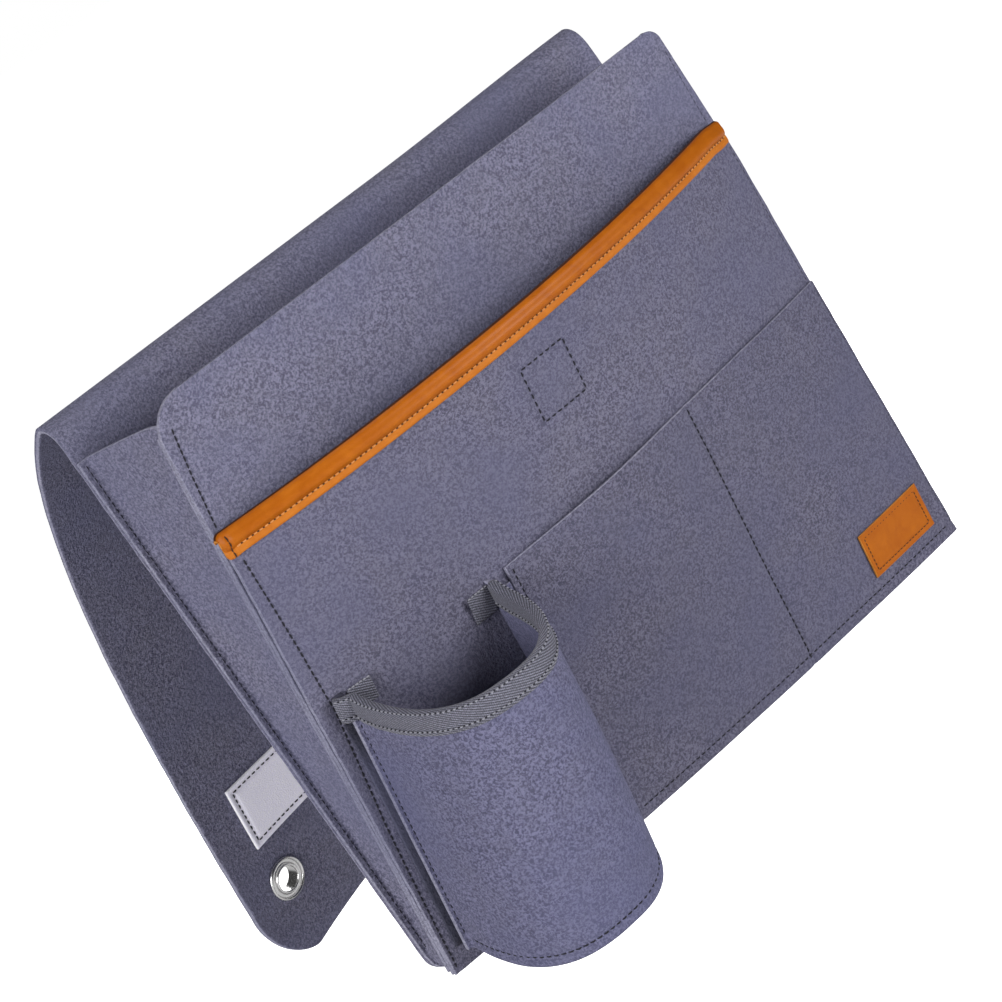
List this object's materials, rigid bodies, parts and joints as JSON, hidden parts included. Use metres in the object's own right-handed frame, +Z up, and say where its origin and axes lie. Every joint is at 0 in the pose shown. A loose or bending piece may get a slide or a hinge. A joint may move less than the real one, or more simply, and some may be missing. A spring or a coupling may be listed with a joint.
{
  "type": "sofa armrest caddy",
  "caption": "Felt caddy that hangs over a sofa armrest: a wedge-shaped box with layered pockets and a drooping cup in front, and an eyeleted flap behind.",
  "frame": {"origin": "the inside of the fold at the middle of its width, where the top of the armrest bears", "axes": "+X to the right seen from the front, the front with its pockets faces -Y, +Z up"},
  "size_m": [0.3308, 0.3121, 0.3015],
  "materials": {
    "felt": "blue-grey heathered needle felt",
    "leather": "smooth tan leather, slightly glossy",
    "binding_tape": "charcoal ribbed woven tape",
    "hook_and_loop": "pale grey hook tape",
    "eyelet_metal": "nickel-plated, polished"
  },
  "bodies": {
    "back": {"back_panel": "felt", "fold_bridge": "felt", "left_gusset": "felt", "right_gusset": "felt", "bottom_gusset": "felt"},
    "front": {"front_panel": "felt", "trim_pocket_panel": "felt", "leather_trim": "leather", "closure_hook_patch": "hook_and_loop", "closure_loop_patch": "hook_and_loop", "lower_pocket_panel": "felt", "leather_label": "leather", "cup_wall": "felt", "cup_base": "felt", "cup_rim_binding": "binding_tape"},
    "flap": {"rear_flap": "felt", "hook_tape": "hook_and_loop", "eyelet_left": "eyelet_metal", "eyelet_right": "eyelet_metal", "eyelet_washer_left": "eyelet_metal", "eyelet_washer_right": "eyelet_metal"}
  },
  "joints": [
    {"name": "flap_fold", "type": "hinge", "parent": "back", "child": "flap", "pos_m": [0, 0, -0.0095], "axis": [1, 0, 0], "range_deg": [-25, 110], "deforming": ["fold_bridge"]},
    {"name": "front_fold", "type": "hinge", "parent": "back", "child": "front", "pos_m": [0, -0.0275, -0.2875], "axis": [-1, 0, 0], "range_deg": [0, 7], "deforming": ["left_gusset", "right_gusset", "bottom_gusset"]}
  ]
}
